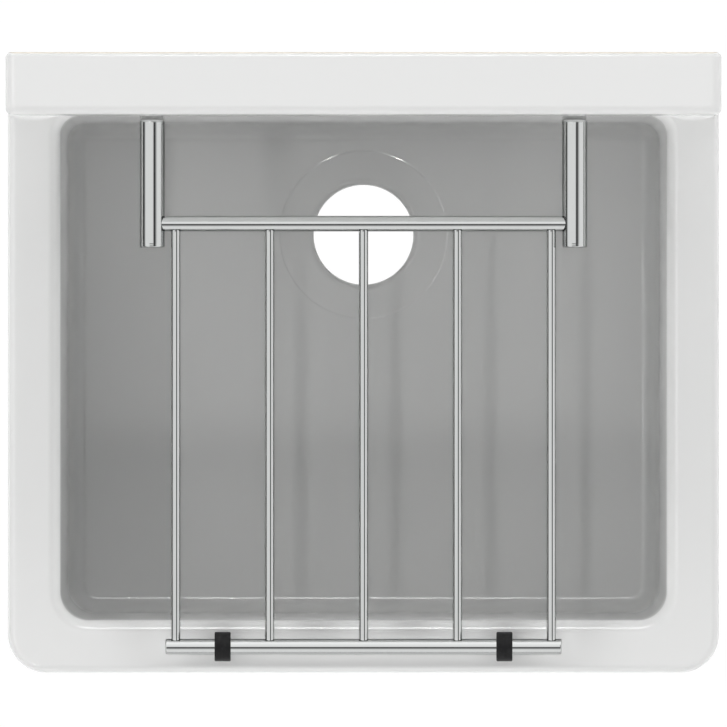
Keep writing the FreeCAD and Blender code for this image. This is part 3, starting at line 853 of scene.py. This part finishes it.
# %% Soft studio world
FAINT, RING_LIGHT, RING_BACK = 0.02, 7.0, 1.1
RING_BOTTOM, RING_TOP, SIDE_DIP, BACK_DIP = (0.21, 0.27), (0.41, 0.49), 0.08, 0.01
BOX_BACK, HORIZON = 0.4, (-0.08, 0.08)
GAP_DARK, GAP_FADE, LEFT_FADE = 0.97, (0.06, 0.3), (0.3, 0.7)
world = bpy.data.worlds.new("studio")
scene.world = world
world.use_nodes = True
graph = Graph(world.node_tree)
ray = graph.node("ShaderNodeLightPath")
view = graph.node("ShaderNodeTexCoord", None, None, "Generated")
right = graph.node("ShaderNodeSeparateXYZ", None, {0: view})
deep, up = right.other("Y"), right.other("Z")
ceiling = up + right * right * SIDE_DIP + deep * BACK_DIP
bright_ring = up.eased(*RING_BOTTOM) * (1 - ceiling.eased(*RING_TOP))
glow = FAINT + bright_ring * (RING_LIGHT + deep * RING_BACK)
across, along = right.angle(up), (0 - deep).angle(up)  # from straight up to the right and the front


def rising(angle, start, end):
    """0 below one angle and 1 above the other. The angles are in degrees."""
    return angle.eased(math.radians(start), math.radians(end))


def gap(angle, start, dark_start, dark_end, end):
    """1 in a dark gap between two soft boxes, fading out on both sides."""
    return rising(angle, start, dark_start) * (1 - rising(angle, dark_end, end))


low_left = rising(0 - across, 60, 84) * (0 - right).eased(*LEFT_FADE)
side_gap = gap(across, 3, 18, 21, 50) * (1 - (deep * deep).eased(*GAP_FADE))
front_gap = gap(along, 1, 11, 13, 50) * (1 - (right * right).eased(*GAP_FADE))
dark = side_gap.either(front_gap).either(low_left)
boxes = (1 + deep.either(0) * BOX_BACK) * up.eased(*HORIZON) * (1 - dark * GAP_DARK)
mirrored = ray.other("Is Glossy Ray")
viewed = ray.other("Is Camera Ray").either(ray.other("Is Transmission Ray"))
level = viewed + (1 - viewed) * (mirrored * boxes + (1 - mirrored) * glow)
sky = graph.node("ShaderNodeBackground", None, {"Color": WHITE, "Strength": level})
graph.node("ShaderNodeOutputWorld", None, {"Surface": sky})
print("world:", len(world.node_tree.nodes), "nodes")

# %% [markdown]
# ## Lamps for the glaze
# Light falls into the bowl mostly from the left, so the right side of the floor is a little brighter.
# Long, narrow lamps far away give that, with two weaker ones at the front and the back. Other lamps are
# only seen mirrored in the glaze, as the thin bright lines on the floor, on the walls and at the rim. All
# of them light the casting alone, by light linking, because the chrome gets its lines from the world.

# %% Strip lamps
glazed = bpy.data.collections.new("glazed")
glazed.objects.link(basin)


def strip_lamp(name, target, direction, distance, width, length, radiance, soft=True, line=True):
    """A lamp that looks at a point, with its length level. It gives soft light, a mirrored line or both."""
    data = bpy.data.lights.new(name, "AREA")
    data.shape, data.size, data.size_y = "RECTANGLE", length, width
    data.energy = radiance * math.pi * width * length
    lamp = bpy.data.objects.new(name, data)
    back = Vector(direction).normalized()
    level_axis = Vector((0, 0, 1)).cross(back).normalized()
    turn = Matrix((level_axis, back.cross(level_axis), back)).transposed().to_4x4()
    lamp.matrix_world = Matrix.Translation(Vector(target) + back * distance) @ turn
    lamp.visible_camera, lamp.visible_diffuse, lamp.visible_glossy = False, soft, line
    lamp.light_linking.receiver_collection = glazed
    scene.collection.objects.link(lamp)


def tilted(degrees, x, y):
    """A direction that leans from straight up towards x, y."""
    lean = math.radians(degrees)
    return (math.sin(lean) * x, math.sin(lean) * y, math.cos(lean))


FAR, NEAR = 10.0, 2.0
BOWL, BOWL_RIGHT, BOWL_BACK = (0, -0.2, -0.26), (0.03, -0.2, -0.26), (0, -0.1, -0.26)
FRONT_COVE, FRONT_LIP = (0, -0.355, -0.257), (0, -0.37, -0.077)
left, front, back = tilted(22.8, -1, 0), tilted(35, 0, -1), tilted(36, 0, 1)
strip_lamp("left_key", BOWL_RIGHT, left, FAR, width=0.3, length=7.0, radiance=12.0)
strip_lamp("left_line", BOWL_RIGHT, left, FAR, width=0.1, length=7.0, radiance=45.0, soft=False)
strip_lamp("front_fill", BOWL, front, FAR, width=1.2, length=7.0, radiance=4.7, line=False)
strip_lamp("back_fill", BOWL, back, FAR, width=3.0, length=14.0, radiance=0.9, line=False)
strip_lamp("back_line", FRONT_COVE, tilted(39, 0, 1), NEAR, width=0.05, length=0.36, radiance=90.0,
           soft=False)
strip_lamp("low_back_line", FRONT_LIP, tilted(71, 0, 1), NEAR, width=0.06, length=0.36, radiance=15.0,
           soft=False)
for sideways in (-0.42, 0.42):
    strip_lamp("front_spot", BOWL_BACK, tilted(24, sideways, -0.91), FAR, width=0.25, length=0.25,
               radiance=260.0, soft=False)
print(len(bpy.data.lights), "lamps")
